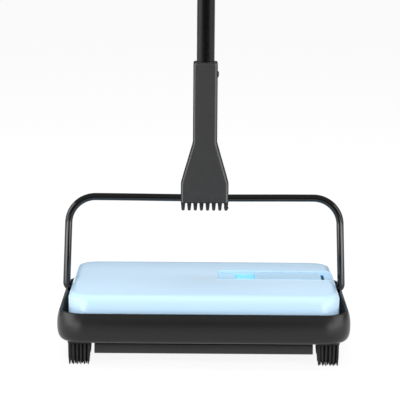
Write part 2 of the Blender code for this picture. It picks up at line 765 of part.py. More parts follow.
def yoke_cutters(name):
    """The tube's socket, the wire's groove, the button's hole and the screws' holes."""
    tools = [
        rod(name + "_socket", (0, 0, TUBE_ENDS[0] - MM), (0, 0, YOKE_TOP + 5 * MM), SOCKET_R,
            sides=24),
        rod(name + "_groove", (-60 * MM, 0, BAIL_TOP), (60 * MM, 0, BAIL_TOP), BAIL_R + GAP),
        rod(name + "_button_hole", (5 * MM, 0, BUTTON_Z), (20 * MM, 0, BUTTON_Z),
            BUTTON_R + GAP),
    ]
    for z in YOKE_SCREW_Z:
        tools.append(rod(f"{name}_screw_{round(z / MM)}", (0, -4 * MM, z), (0, 20 * MM, z),
                         2.3 * MM, sides=16))
    return tools


def yoke_half(name, front):
    levels = sorted((front * 0.15 * MM, front * YOKE_HALF_DEPTH))
    half = plate(name, yoke_outline(), "y", *levels, "grey_plastic")
    if front > 0:
        comb = plate("yoke_comb", comb_outline(), "y", 0.6 * MM, 5 * MM)
        bead = bmesh.new()
        bmesh.ops.create_uvsphere(bead, u_segments=10, v_segments=6, radius=2.2 * MM)
        at = (YOKE_WIDE - 2 * MM, 2.6 * MM, COMB_TIP + 1.6 * MM)
        join(half, comb, add("comb_bead", mesh_from("comb_bead", bead), None, at))
    return cut(half, *yoke_cutters(name))


def yoke_screw(index, z):
    """A headed screw, from the back half into the front one."""
    head_y = YOKE_HALF_DEPTH - 1.5 * MM
    length = head_y + 3.5 * MM
    profile = [(0, length), (2 * MM, length), (2 * MM, 0), (0, 0)]
    return turned(f"yoke_screw_{index + 1}", profile, "steel", (0, -3.5 * MM, z),
                  (-pi / 2, 0, 0), 12)


def snap_button():
    profile = [(0, 14.3 * MM), (BUTTON_R - 1.6 * MM, 14.1 * MM), (BUTTON_R, 12.6 * MM),
               (BUTTON_R, 6 * MM), (5 * MM, 6 * MM), (5 * MM, 4.5 * MM), (0, 4.5 * MM)]
    return turned("snap_button", profile, "grey_plastic", (0, 0, BUTTON_Z), ALONG_X, 20)


def button_spring():
    low, high, wire = -7.3 * MM, 4.2 * MM, 0.4 * MM
    return coil("button_spring", ((low + high) / 2, 0, BUTTON_Z), "x", 2.4 * MM, wire,
                high - low - 2 * wire, 4)


# ---------------------------------------------------------------- handle above the yoke

def handle_tube(name, low, high):
    tube = turned(name, tube_profile(TUBE_BORE, TUBE_R, low, high), "tube_paint")
    if low < BUTTON_Z < high:
        cut(tube, rod("tube_button_hole", (5 * MM, 0, BUTTON_Z), (15 * MM, 0, BUTTON_Z),
                      BUTTON_R + GAP))
    return tube


def coupler(name, z):
    edge = 1.5 * MM
    profile = [(COUPLER_R - edge, z + COUPLER_HALF), (COUPLER_R, z + COUPLER_HALF - edge),
               (COUPLER_R, z - COUPLER_HALF + edge), (COUPLER_R - edge, z - COUPLER_HALF),
               (SOCKET_R, z - COUPLER_HALF), (SOCKET_R, z + COUPLER_HALF)]
    return turned(name, profile, "grey_plastic")


def grip():
    low, high = GRIP_Z
    seat = TUBE_ENDS[-1] + 0.5 * MM
    stations = 7
    outside = [(12 * MM, high)]
    for i in range(stations + 1):
        t = i / stations
        z = high - 2 * MM - (high - low - 4 * MM) * t
        outside.append((13.4 * MM + 1.6 * MM * sin(pi * t) - 0.6 * MM * t, z))
    outside.append((12 * MM, low))
    profile = [(0, high), *outside, (SOCKET_R, low), (SOCKET_R, seat), (0, seat)]
    return turned("grip", profile, "grey_plastic", steps=18)


def hanging_loop():
    low = GRIP_Z[1] + GAP
    wide, hole = 11 * MM, 6 * MM
    centre = (0, LOOP_TOP - wide)
    outline = [(wide, low), *arc(centre, wide, 0, 180, 12), (-wide, low)]
    loop = plate("hanging_loop", outline, "y", -4.5 * MM, 4.5 * MM, "grey_plastic")
    ends = ((0, -10 * MM, centre[1]), (0, 10 * MM, centre[1]))
    return cut(loop, rod("loop_hole", *ends, hole, sides=20))


# ---------------------------------------------------------------- assembly

def main():
    base_housing()
    top_cover()
    lever_pin()
    carry(pivot("lever_axis", (LEVER_PIVOT[0], 0, LEVER_PIVOT[1])), [release_lever()])
    carry(pivot("release_slide", (0, 0, FRAME_Z[0])), [release_frame()])
    for name, front in (("front", -1), ("rear", 1)):
        hinge = pivot(f"{name}_pan_axis", (0, front * PAN_HINGE[0], PAN_HINGE[1]))
        carry(hinge, [dustpan(f"{name}_dustpan", front)])
        pan_rod(f"{name}_pan_rod", front)
        pan_spring(f"{name}_pan_spring", front)
    rows = [bristle_row(i) for i in range(BRISTLE_ROWS)]
    carry(pivot("brush_axis", (0, 0, BRUSH_Z)), [brush_core(), brush_axle(), *rows])
    for side in (-1, 1):
        end_frame(side)
        brush_bush(side)
        bail_bush(side)
        release_spring(side)
        for front in (-1, 1):
            axis = pivot(f"wheel_axis_{corner_name(side, front)}",
                         (side * sum(DRUM_X) / 2, front * WHEEL_Y, WHEEL_R))
            carry(axis, wheel(side, front))
            wheel_axle(side, front)
            corner_brush(side, front)
    handle = [bail_wire(), yoke_half("yoke_front", -1), yoke_half("yoke_back", 1),
              button_spring(), grip(), hanging_loop()]
    handle += [yoke_screw(i, z) for i, z in enumerate(YOKE_SCREW_Z)]
    spans = zip(("lower_tube", "middle_tube", "upper_tube"), TUBE_ENDS, TUBE_ENDS[1:])
    handle += [handle_tube(name, low + GAP, high - GAP) for name, low, high in spans]
    handle += [coupler("lower_coupler", TUBE_ENDS[1]), coupler("upper_coupler", TUBE_ENDS[2])]
    bail_axis = pivot("bail_axis", (0, 0, BAIL_Z))
    button_axis = pivot("button_slide", (0, 0, BUTTON_Z))
    carry(button_axis, [snap_button()])
    carry(bail_axis, [*handle, button_axis])


main()
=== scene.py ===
"""Finished looks of the push carpet sweeper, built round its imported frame.

Units are metres, +Z up, the sweeper's front towards -Y. Sizes come from the frame's boxes where a
piece fills its node, and from the named values below.
"""

from math import ceil, cos, inf, pi, radians, sin, sqrt, tan, tau
from random import Random

import bmesh
import bpy
from mathutils import Euler, Matrix, Vector


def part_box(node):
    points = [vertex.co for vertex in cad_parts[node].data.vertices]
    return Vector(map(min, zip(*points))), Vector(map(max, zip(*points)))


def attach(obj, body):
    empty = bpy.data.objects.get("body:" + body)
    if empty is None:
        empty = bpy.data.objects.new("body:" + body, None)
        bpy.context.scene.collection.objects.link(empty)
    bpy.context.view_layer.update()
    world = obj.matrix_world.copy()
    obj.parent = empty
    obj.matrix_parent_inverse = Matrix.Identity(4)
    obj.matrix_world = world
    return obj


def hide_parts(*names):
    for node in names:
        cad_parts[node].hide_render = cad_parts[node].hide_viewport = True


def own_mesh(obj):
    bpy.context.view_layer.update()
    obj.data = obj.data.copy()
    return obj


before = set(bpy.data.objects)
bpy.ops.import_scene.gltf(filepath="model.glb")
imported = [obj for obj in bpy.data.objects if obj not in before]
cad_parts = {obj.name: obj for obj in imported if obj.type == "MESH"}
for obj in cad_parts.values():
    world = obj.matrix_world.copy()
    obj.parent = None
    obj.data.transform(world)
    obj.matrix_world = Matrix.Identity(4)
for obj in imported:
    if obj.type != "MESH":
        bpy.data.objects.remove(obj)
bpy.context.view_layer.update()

MM = 0.001
SIDES = {"left": -1, "right": 1}
ENDS = {"front": -1, "rear": 1}
CORNERS = [(end, side) for end in ENDS for side in SIDES]


# ---------------------------------------------------------------- materials

DRIFT_SCALE = 22.0
GLOSS_SCALE = 130.0


def node(tree, kind, **inputs):
    """A new shader node with these inputs set; an underscore stands for a space."""
    made = tree.nodes.new(kind)
    for key, value in inputs.items():
        made.inputs[key.replace("_", " ")].default_value = value
    return made


def noise(tree, scale, detail=3.0, rough=0.55):
    """Noise in metres of object space."""
    place = tree.nodes.new("ShaderNodeTexCoord")
    made = node(tree, "ShaderNodeTexNoise", Scale=scale, Detail=detail, Roughness=rough)
    tree.links.new(place.outputs["Object"], made.inputs["Vector"])
    return made.outputs["Fac"]


def spread(tree, factor, low, high):
    """The middle of a noise factor's range mapped to low..high."""
    made = node(tree, "ShaderNodeMapRange", From_Min=0.3, From_Max=0.7, To_Min=low, To_Max=high)
    tree.links.new(factor, made.inputs["Value"])
    return made.outputs["Result"]


def tint(colour, amount):
    """The colour made lighter or darker, with an alpha of one."""
    return tuple(min(1.0, c * amount) for c in colour) + (1.0,)


def surface(name, colour, rough, metallic=0.0, vary=0.04, grain=2200.0, grain_depth=0.02,
            specular=0.5, rough_vary=0.12):
    """A moulded, painted or bare surface: colour drift, uneven gloss, fine grain (depth in mm)."""
    made = bpy.data.materials.new(name)
    made.use_nodes = True
    tree = made.node_tree
    shader = tree.nodes["Principled BSDF"]
    shader.inputs["Metallic"].default_value = metallic
    shader.inputs["Specular IOR Level"].default_value = specular
    mix = tree.nodes.new("ShaderNodeMix")
    mix.data_type = "RGBA"
    mix.inputs["A"].default_value = tint(colour, 1 - vary)
    mix.inputs["B"].default_value = tint(colour, 1 + vary)
    tree.links.new(noise(tree, DRIFT_SCALE), mix.inputs["Factor"])
    tree.links.new(mix.outputs["Result"], shader.inputs["Base Color"])
    gloss = spread(tree, noise(tree, GLOSS_SCALE, 4.0),
                   rough * (1 - rough_vary), rough * (1 + rough_vary))
    tree.links.new(gloss, shader.inputs["Roughness"])
    fine = node(tree, "ShaderNodeBump", Strength=0.6, Distance=grain_depth * MM)
    tree.links.new(noise(tree, grain, 2.0), fine.inputs["Height"])
    tree.links.new(fine.outputs["Normal"], shader.inputs["Normal"])
    return made


MAT = {
    "cover": surface("cover_blue", (0.535, 0.758, 0.965), 0.11, vary=0.012, grain=700.0,
                     grain_depth=0.0012),
    # inset: painted shade, a darker blue on the recess floor and the lift lever standing in for
    # the shade inside the recess
    "inset": surface("recess_shade_blue", (0.43, 0.665, 0.87), 0.32, vary=0.015, grain=700.0,
                     grain_depth=0.0012),
    "pocket": surface("pocket_blue", (0.34, 0.78, 0.96), 0.3, vary=0.02, grain=700.0,
                      grain_depth=0.0012),
    # well: painted shadow, a dark blue on the walls of the slit where the gap is in shade
    "well": surface("slit_shadow_blue", (0.05, 0.3, 0.56), 0.5, vary=0.02, specular=0.2),
    "bumper": surface("bumper_black", (0.0095, 0.0095, 0.0097), 0.3, vary=0.05, grain=1500.0,
                      grain_depth=0.0015, specular=0.34, rough_vary=0.03),
    "yoke": surface("yoke_grey", (0.032, 0.032, 0.0325), 0.4, vary=0.06, grain=1500.0,
                    grain_depth=0.006, specular=0.3),
    # yoke_edge_highlight is a painted highlight for the rounded long edges; yoke_side_shade,
    # darker and nearly without gloss, is painted shade on the sides and foot
    "yoke_edge_highlight": surface("yoke_edge_highlight", (0.1, 0.1, 0.101), 0.38, vary=0.06, grain=1500.0,
                         grain_depth=0.006, specular=0.3),
    "yoke_side_shade": surface("yoke_side_shade", (0.024, 0.024, 0.0245), 0.55, vary=0.06, grain=1500.0,
                         grain_depth=0.006, specular=0.05),
    "grip": surface("grip_grey", (0.024, 0.024, 0.025), 0.6, vary=0.08, grain=1200.0,
                    grain_depth=0.02, specular=0.3),
    "pan": surface("pan_black", (0.022, 0.022, 0.0223), 0.4, vary=0.1, grain=1500.0,
                   grain_depth=0.005, specular=0.3),
    "wire": surface("wire_black", (0.001, 0.001, 0.00105), 0.08, vary=0.15, grain=1300.0,
                    grain_depth=0.0002, specular=0.55),
    "tube": surface("tube_black", (0.002, 0.002, 0.0021), 0.27, vary=0.15, grain=1300.0,
                    grain_depth=0.001, specular=0.22),
    "inner": surface("frame_grey", (0.03, 0.03, 0.0312), 0.5, vary=0.06, specular=0.3,
                     grain_depth=0.005),
    "wheel": surface("wheel_plastic", (0.02, 0.02, 0.021), 0.45, vary=0.08, specular=0.3,
                     grain_depth=0.005),
    "tyre": surface("tyre_rubber", (0.013, 0.013, 0.013), 0.85, vary=0.15, grain=1400.0,
                    grain_depth=0.03, specular=0.3),
    "bristle": surface("bristle_black", (0.018, 0.018, 0.018), 0.4, vary=0.3, grain=4000.0,
                       grain_depth=0.002, specular=0.25),
    # bristle_core_shade: painted shade, a darker tone for the bundles inside each tuft, standing
    # in for the shadow between them
    "bristle_core_shade": surface("bristle_core_shade", (0.004, 0.004, 0.004), 0.6, vary=0.3, grain=4000.0,
                            grain_depth=0.002, specular=0.1),
    "steel": surface("steel", (0.56, 0.56, 0.58), 0.3, metallic=1.0, vary=0.05, grain=1500.0,
                     grain_depth=0.001, rough_vary=0.3),
}


# ---------------------------------------------------------------- making pieces

def wear(piece, look, body, *replaced):
    """Give a new piece its material and body, and hide the CAD nodes that it stands for."""
    piece.data.materials.append(MAT[look])
    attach(piece, body)
    if replaced:
        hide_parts(*replaced)


def add(name, data):
    """A new object in the scene, with this mesh, curve, lamp or camera data."""
    made = bpy.data.objects.new(name, data)
    bpy.context.scene.collection.objects.link(made)
    return made


def shade(piece, sharp):
    """Smooth shading, with edges over the angle in degrees kept sharp."""
    piece.data.shade_smooth()
    piece.data.set_sharp_from_angle(angle=radians(sharp))
    return piece


def from_bmesh(name, bm, sharp=40, place=None):
    """A piece with all faces turned outwards, moved by the matrix place if there is one."""
    bmesh.ops.recalc_face_normals(bm, faces=bm.faces)
    data = bpy.data.meshes.new(name)
    bm.to_mesh(data)
    bm.free()
    if place is not None:
        data.transform(place)
    return shade(add(name, data), sharp)


def soften(piece, width, segments=3, angle=35):
    """Rounded edges, with shading kept flat on the faces between them."""
    bevel = piece.modifiers.new("edges", "BEVEL")
    bevel.width = width
    bevel.segments = segments
    bevel.limit_method = "ANGLE"
    bevel.angle_limit = radians(angle)
    bevel.harden_normals = True


NEARLY_STRAIGHT = 0.02
TINY = 1e-9


def fillet(points, radius, steps=5):
    """Round every corner of a closed 2D outline; radius is one value or one for each corner."""
    radii = radius if isinstance(radius, (list, tuple)) else [radius] * len(points)
    out = []
    count = len(points)
    for i, (point, r) in enumerate(zip(points, radii)):
        here = Vector(point)
        before = Vector(points[i - 1]) - here
        after = Vector(points[(i + 1) % count]) - here
        angle = before.angle(after) if r > 0 else pi
        if angle > pi - NEARLY_STRAIGHT:
            out.append(tuple(here))
            continue
        half = angle / 2
        back = min(r / tan(half), 0.49 * before.length, 0.49 * after.length)
        true_r = back * tan(half)
        bisect = (before.normalized() + after.normalized()).normalized()
        centre = here + bisect * (true_r / sin(half))
        start = here + before.normalized() * back - centre
        finish = here + after.normalized() * back - centre
        turn = start.angle_signed(finish)
        for k in range(steps + 1):
            spot = start.copy()
            spot.rotate(Matrix.Rotation(-turn * k / steps, 2))
            out.append(tuple(centre + spot))
    return out


AXES = {"x": Euler((0, pi / 2, 0)).to_matrix().to_4x4(),
        "-x": Euler((0, -pi / 2, 0)).to_matrix().to_4x4(),
        "y": Euler((-pi / 2, 0, 0)).to_matrix().to_4x4(),
        "z": Matrix.Identity(4)}


def lathe(name, profile, at=(0, 0, 0), axis="z", steps=72, sharp=40):
    """Revolve (radius, height) points; a profile that never reaches the axis is a closed ring."""
    bm = bmesh.new()
    ring = min(r for r, _ in profile) > TINY
    columns = []
    for k in range(steps):
        a = tau * k / steps
        column = []
        for r, h in profile:
            if r < TINY and columns:
                column.append(columns[0][len(column)])
            else:
                column.append(bm.verts.new((r * cos(a), r * sin(a), h)))
        columns.append(column)
    last = len(profile)
    pairs = [(i, (i + 1) % last) for i in range(last if ring else last - 1)]
    for k in range(steps):
        here, there = columns[k], columns[(k + 1) % steps]
        for i, j in pairs:
            corners = [here[i], there[i], there[j], here[j]]
            unique = list(dict.fromkeys(corners))
            if len(unique) >= 3:
                bm.faces.new(unique)
    place = Matrix.Translation(at) @ AXES[axis]
    return from_bmesh(name, bm, sharp, place)


def prism(name, outline, axis, low, high):
    """A flat outline between two levels; (y, z) points for x, (x, z) for y, (x, y) for z."""
    bm = bmesh.new()

    def spot(a, b, level):
        """The outline's point in 3D."""
        return {"x": (level, a, b), "y": (a, level, b), "z": (a, b, level)}[axis]

    bottom = [bm.verts.new(spot(a, b, low)) for a, b in outline]
    top = [bm.verts.new(spot(a, b, high)) for a, b in outline]
    bm.faces.new(bottom)
    bm.faces.new(top)
    for i in range(len(outline)):
        j = (i + 1) % len(outline)
        bm.faces.new((bottom[i], bottom[j], top[j], top[i]))
    return from_bmesh(name, bm)


def block(name, low, high):
    """A box between two corners."""
    outline = [(low[0], low[1]), (high[0], low[1]), (high[0], high[1]), (low[0], high[1])]
    return prism(name, outline, "z", low[2], high[2])


def round_wire(name, points, radius, sides=5):
    """A curve with a round section and closed ends."""
    data = bpy.data.curves.new(name, "CURVE")
    data.dimensions = "3D"
    data.bevel_depth = radius
    data.bevel_resolution = sides
    data.use_fill_caps = True
    spline = data.splines.new("POLY")
    spline.points.add(len(points) - 1)
    for spot, point in zip(spline.points, points):
        spot.co = (*point, 1)
    spline.use_smooth = True
    return add(name, data)


def as_mesh(piece):
    """A copy of the piece's shape as mesh data, modifiers and curve thickness included."""
    bpy.context.view_layer.update()
    graph = bpy.context.evaluated_depsgraph_get()
    return bpy.data.meshes.new_from_object(piece.evaluated_get(graph))


def cut(target, tool):
    """Take the tool's shape out of the target, and remove the tool."""
    step = target.modifiers.new("cut", "BOOLEAN")
    step.operation = "DIFFERENCE"
    step.object = tool
    data = as_mesh(target)
    target.modifiers.clear()
    old = target.data
    target.data = data
    data.name = old.name
    bpy.data.meshes.remove(old)
    bpy.data.objects.remove(tool, do_unlink=True)


def drill(target, radius, low, high, at=(0, 0, 0), axis="z", steps=32):
    """Cut a round hole between two levels along the axis."""
    cut(target, lathe("drill", [(0, high), (radius, high), (radius, low), (0, low)],
                      at, axis, steps))


def merge(name, pieces, sharp=40):
    """Collect several mesh pieces into one object."""
    bm = bmesh.new()
    for piece in pieces:
        bm.from_mesh(piece.data)
        bpy.data.objects.remove(piece, do_unlink=True)
    data = bpy.data.meshes.new(name)
    bm.to_mesh(data)
    bm.free()
    return shade(add(name, data), sharp)


def arc(centre, radius, start, end, steps):
    """Points of a 2D arc between two angles in degrees."""
    angles = [radians(start + (end - start) * i / steps) for i in range(steps + 1)]
    return [(centre[0] + radius * cos(a), centre[1] + radius * sin(a)) for a in angles]


def step_up(value, edge, width):
    """0 below the edge and 1 above it, blended smoothly over the width."""
    t = (value - edge) / width + 0.5
    t = min(1.0, max(0.0, t))
    return t * t * (3 - 2 * t)


def inside(value, low, high, width):
    """1 between low and high and 0 outside, blended over the width at both edges."""
    return step_up(value, low, width) * (1 - step_up(value, high, width))


# ---------------------------------------------------------------- housing and its bumper

BUMPER_LO, BUMPER_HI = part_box("base_housing")
HALF_X, HALF_Y = BUMPER_HI.x, BUMPER_HI.y
HOUSING_CORNER = 30 * MM
FLOOR_Z = BUMPER_LO.z
FLOOR_TOP = FLOOR_Z + 3 * MM
RIM_Z = BUMPER_HI.z
WIDEST_Z = 42 * MM
FOOT = 9.5 * MM
DRAWN_IN = 2.1 * MM
RIM_RADIUS = 1.5 * MM
FLANGE = 11.5 * MM
PAN_OPENING = (115 * MM, 90.3 * MM)
QUADRANTS = ((1, 1), (-1, 1), (-1, -1), (1, -1))


def bumper_section():
    """(inset, z) points: flat foot, full lower curve, bulge, drawn-in upper half, round rim."""
    points = [(FLANGE, FLOOR_Z)]
    power = 2.7
    drop = WIDEST_Z - FLOOR_Z
    steps = 14
    for i in range(steps):
        s = cos(pi / 2 * i / steps)
        points.append((FOOT * (1 - (1 - s ** power) ** (1 / power)), WIDEST_Z - drop * s))
    top = RIM_Z - 1.3 * MM
    rise = top - WIDEST_Z
    steps = 10
    for i in range(steps + 1):
        t = i / steps
        points.append((DRAWN_IN * t ** 2.2, WIDEST_Z + rise * t))
    centre = (DRAWN_IN + RIM_RADIUS, top - 0.2 * MM)
    points += arc(centre, RIM_RADIUS, 170, 5, 8)
    points += [(5.5 * MM, 52 * MM), (6 * MM, FLOOR_TOP), (FLANGE, FLOOR_TOP)]
    return points


def housing():
    """The bumper's section carried round the rounded rectangle, joined to the bottom plate."""
    section = bumper_section()
    bm = bmesh.new()
    arc_steps, rings = 20, []
    core_x, core_y = HALF_X - HOUSING_CORNER, HALF_Y - HOUSING_CORNER
    for turn, (sx, sy) in enumerate(QUADRANTS):
        for k in range(arc_steps + 1):
            a = pi / 2 * (turn + k / arc_steps)
            ring = []
            for inset, z in section:
                reach = HOUSING_CORNER - inset
                ring.append(bm.verts.new((sx * core_x + reach * cos(a),
                                          sy * core_y + reach * sin(a), z)))
            rings.append(ring)
    count = len(section)
    for i, ring in enumerate(rings):
        after = rings[(i + 1) % len(rings)]
        for a in range(count):
            b = (a + 1) % count
            bm.faces.new((ring[a], after[a], after[b], ring[b]))
    bumper = from_bmesh("bumper_ring", bm, 30)
    floor = housing_floor()
    wear(merge("housing", [bumper, floor], 30), "bumper", "base", "base_housing")


def housing_floor():
    """The bottom plate inside the bumper, with openings for the pans, wheels and end frames."""
    inset = FLANGE - MM
    hx, hy, r = HALF_X - inset, HALF_Y - inset, HOUSING_CORNER - inset
    outline = []
    for turn, (sx, sy) in enumerate(QUADRANTS):
        outline += arc((sx * (hx - r), sy * (hy - r)), r, 90 * turn, 90 * turn + 90, 8)
    floor = prism("housing_floor", outline, "z", FLOOR_Z + 0.1 * MM, FLOOR_TOP - 0.1 * MM)
    low, high = FLOOR_Z - MM, FLOOR_TOP + MM
    x, y = PAN_OPENING
    cut(floor, block("pan_opening", (-x, -y, low), (x, y, high)))
    wheel_slot, frame_slot = (119 * MM, 131.8 * MM, 51 * MM), (114 * MM, 120 * MM, 38 * MM)
    for side in SIDES.values():
        for near, far, y in (wheel_slot, frame_slot):
            x0, x1 = sorted((side * near, side * far))
            cut(floor, block("slot", (x0, -y, low), (x1, y, high)))
    return floor


# ---------------------------------------------------------------- cover

COVER_LO, COVER_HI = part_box("top_cover")
COVER_CORNER = 23 * MM
SHOULDER = 7.5 * MM
CROWN_SIDE = 0.32 * MM
CROWN_FRONT = 2.56 * MM
CROWN_REAR = 0.88 * MM
LIP = 0.4 * MM
RECESS = {"x": 16 * MM, "y": (-13 * MM, 35 * MM), "floor": 74 * MM}
NOTCH = {"x": (34 * MM, 64 * MM), "y": (-4 * MM, 32.5 * MM), "floor": 69.5 * MM}
WELL = {"x": (104 * MM, 129.5 * MM), "y": (-9.8 * MM, 29.8 * MM), "floor": 71 * MM}


def grid_lines(half, length, crisp):
    """Line positions from -length to length: coarse, with fine ones round the crisp edges.

    The lines at -half and half, where the corners start, are always among them.
    """
    coarse = 3.5 * MM
    count = ceil(2 * length / coarse)
    spots = [-length + 2 * length * i / count for i in range(count + 1)]
    fine = [-2.6, -2.2, -1.8, -1.4, -1.1, -0.8, -0.55, -0.3, 0, 0.3, 0.55, 0.8, 1.1, 1.5, 2.0]
    close = [edge + MM * d for edge in crisp for d in fine]
    far = [s for s in spots if all(abs(s - c) > 1.2 * MM for c in close)]
    bends = [half, -half]
    merged = sorted(far + close + [b for b in bends if all(abs(b - c) > 0.4 * MM for c in close)])
    return [a for a, b in zip(merged, merged[1:] + [inf]) if b - a > 0.05 * MM]


def inside_box(spot, pocket, margin=MM):
    """Whether a point is inside a pocket's outline, seen from above, widened by the margin."""
    return all(low - margin < value < high + margin
               for value, (low, high) in zip(spot, (pocket["x"], pocket["y"])))


COVER_LOOKS = ("cover", "pocket", "inset", "well")


def cover_look(spot):
    """The look of the cover's sheet at a point; the well and inset looks are painted shade."""
    floor, (y0, y1) = RECESS["floor"], RECESS["y"]
    # Painted shadow: the slit's walls below the recess floor.
    if inside_box(spot, WELL) and spot.z < floor - 0.5 * MM:
        return "well"
    if inside_box(spot, NOTCH) and spot.z < floor - 0.8 * MM:
        return "pocket"
    # Painted shade: the recess floor and its walls, darker than the cover.
    if spot.x > RECESS["x"] + 0.5 * MM and spot.z < floor + MM and y0 < spot.y < y1:
        return "inset"
    return "cover"


def cover():
    """One sheet bent over the shoulders and down the sides, then pressed in at the recess."""
    hx, hy = COVER_HI.x, COVER_HI.y
    top, bottom = COVER_HI.z, COVER_LO.z
    core_x, core_y = hx - COVER_CORNER, hy - COVER_CORNER
    flat = COVER_CORNER - SHOULDER
    bend = SHOULDER * pi / 2
    side = top - SHOULDER - bottom
    reach = flat + bend + side
    xs = grid_lines(core_x, core_x + reach, [RECESS["x"], *NOTCH["x"], *WELL["x"]])
    ys = grid_lines(core_y, core_y + reach, [*RECESS["y"], *NOTCH["y"], *WELL["y"]])

    def section(d):
        """How far out and how high the sheet is at the distance d along it from the core."""
        if d <= flat:
            return d, top
        if d <= flat + bend:
            a = (d - flat) / SHOULDER
            return flat + SHOULDER * sin(a), top - SHOULDER * (1 - cos(a))
        return COVER_CORNER, top - SHOULDER - (d - flat - bend)

    def spot(u, v):
        """The bent sheet's point for the place (u, v) on the flat sheet."""
        eu, ev = max(0.0, abs(u) - core_x), max(0.0, abs(v) - core_y)
        sx, sy = (1 if u >= 0 else -1), (1 if v >= 0 else -1)
        d = max(eu, ev)
        if d < TINY:
            x, y, z = u, v, top
        else:
            a = pi / 4 * (ev / eu if eu >= ev else 2 - eu / ev)
            away, z = section(d)
            x = sx * (min(abs(u), core_x) + away * cos(a))
            y = sy * (min(abs(v), core_y) + away * sin(a))
        fall = CROWN_FRONT if y < 0 else CROWN_REAR
        crown = CROWN_SIDE * abs(x / hx) ** 3 + fall * abs(y / hy) ** 2.6
        if z > top - SHOULDER:
            z -= crown * (z - top + SHOULDER) / SHOULDER
        return x, y, z

    def press(x, y, z):
        """The height once the lip is raised and the recess, notch and well are pressed in."""
        width = 0.9 * MM
        (y0, y1), out = RECESS["y"], 1.3 * MM
        z += LIP * step_up(x, RECESS["x"] - out, 2 * MM) * inside(y, y0 - out, y1 + out, 1.8 * MM)
        mask = step_up(x, RECESS["x"], 2.5 * MM) * inside(y, *RECESS["y"], width)
        z -= mask * max(0.0, z - RECESS["floor"])
        for pocket, soft in ((NOTCH, 0.9 * MM), (WELL, 0.7 * MM)):
            mask = inside(x, *pocket["x"], soft) * inside(y, *pocket["y"], soft)
            z -= mask * max(0.0, z - pocket["floor"])
        return z

    bm = bmesh.new()
    verts = {}
    for i, u in enumerate(xs):
        for j, v in enumerate(ys):
            x, y, z = spot(u, v)
            if x > 0 and z > NOTCH["floor"]:
                z = press(x, y, z)
            verts[i, j] = bm.verts.new((x, y, z))
    for i in range(len(xs) - 1):
        for j in range(len(ys) - 1):
            corners = [verts[i, j], verts[i + 1, j], verts[i + 1, j + 1], verts[i, j + 1]]
            middle = sum((c.co for c in corners), Vector()) / 4
            if inside_box(middle, WELL, -0.4 * MM):
                continue
            face = bm.faces.new(corners)
            face.material_index = COVER_LOOKS.index(cover_look(middle))
    for vert in [v for v in bm.verts if not v.link_faces]:
        bm.verts.remove(vert)
    shell = from_bmesh("cover", bm, 60)
    wear(shell, "cover", "base", "top_cover")
    for look in COVER_LOOKS[1:]:
        shell.data.materials.append(MAT[look])
    thick = shell.modifiers.new("wall", "SOLIDIFY")
    thick.thickness = 2.0 * MM
    thick.offset = -1


LEVER_PIVOT = (117 * MM, 69.5 * MM)
LEVER_END_X = 126 * MM


def lever():
    """The lift lever: a flat plate with rounded edges over its hinge web and ears."""
    lo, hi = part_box("release_lever")
    outline = fillet([(lo.x, lo.y), (LEVER_END_X, lo.y), (LEVER_END_X, hi.y), (lo.x, hi.y)],
                     [1.2 * MM, 0.8 * MM, 0.8 * MM, 1.2 * MM], 4)
    plate = prism("lever_plate", outline, "z", hi.z - 2.2 * MM, hi.z)
    soften(plate, 0.5 * MM, 3)
    # The plate, web and ears wear the inset tone: painted shade, as on the recess floor.
    wear(plate, "inset", "lever", "release_lever")

    def round_pivot(spots, radius):
        """An outline given in mm from the pivot, with its corners rounded."""
        x, z = LEVER_PIVOT
        return fillet([(x + a * MM, z + b * MM) for a, b in spots], radius, 3)

    tail = [(-9, 5), (9, 5), (9, 0.5), (14.5, -3.5), (14.5, -6.4), (11.5, -6.5), (4, -3.6),
            (-5, -3.2), (-9, 1)]
    web = prism("lever_web", round_pivot(tail, 0.8 * MM), "y", 13 * MM, 23 * MM)
    wear(web, "inset", "lever")
    ear = [(-4, 5), (4, 5), (4, -1.5), (2, -3), (-2, -3), (-4, -1.5)]
    for i, levels in enumerate(((-7.5 * MM, -5 * MM), (24.5 * MM, 27 * MM))):
        wear(prism(f"lever_ear_{i + 1}", round_pivot(ear, MM), "y", *levels), "inset", "lever")


# ---------------------------------------------------------------- bail, yoke and button

BAIL_LO, BAIL_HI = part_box("bail_wire")
BAIL_R = 4 * MM
BAIL_Z = BAIL_LO.z + BAIL_R
BAIL_TOP = BAIL_HI.z - BAIL_R
BAIL_FOOT_X = 147.6 * MM
BAIL_TOP_X = 145.3 * MM
BAIL_CORNER = 29 * MM
BAIL_SAG = 0.6 * MM
BAIL_BEND = 5.5 * MM
BAIL_END_X = 134 * MM


def bail():
    """The wire in one bend, with feet turned inward, and the two flanged bushes in the cover."""
    foot = (BAIL_FOOT_X - BAIL_BEND, BAIL_Z + BAIL_BEND)
    top = (BAIL_TOP_X - BAIL_CORNER, BAIL_TOP - BAIL_CORNER)
    right = [(BAIL_END_X, BAIL_Z), *arc(foot, BAIL_BEND, -90, 0, 12),
             *arc(top, BAIL_CORNER, 0, 90, 28)]
    steps = 7
    for i in range(1, steps + 1):
        t = i / steps
        right.append((top[0] * (1 - t), BAIL_TOP - BAIL_SAG * t * t * (3 - 2 * t)))
    points = right + [(-x, z) for x, z in reversed(right[:-1])]
    wire = round_wire("bail", [(x, 0, z) for x, z in points], BAIL_R, sides=8)
    wear(wire, "wire", "handle", "bail_wire")
    for name, side in SIDES.items():
        profile = [(6.6, 0.5), (6.3, 0.8), (4.6, 0.8), (4.3, 0.5), (4.3, -5), (5.6, -5),
                   (5.6, 0), (6.6, 0)]
        bush = lathe(f"bail_bush_{name}", [(r * MM, h * MM) for r, h in profile],
                     (side * (COVER_HI.x + 0.3 * MM), 0, BAIL_Z), "x" if side > 0 else "-x")
        wear(bush, "inner", "base", f"bail_bush_{name}")


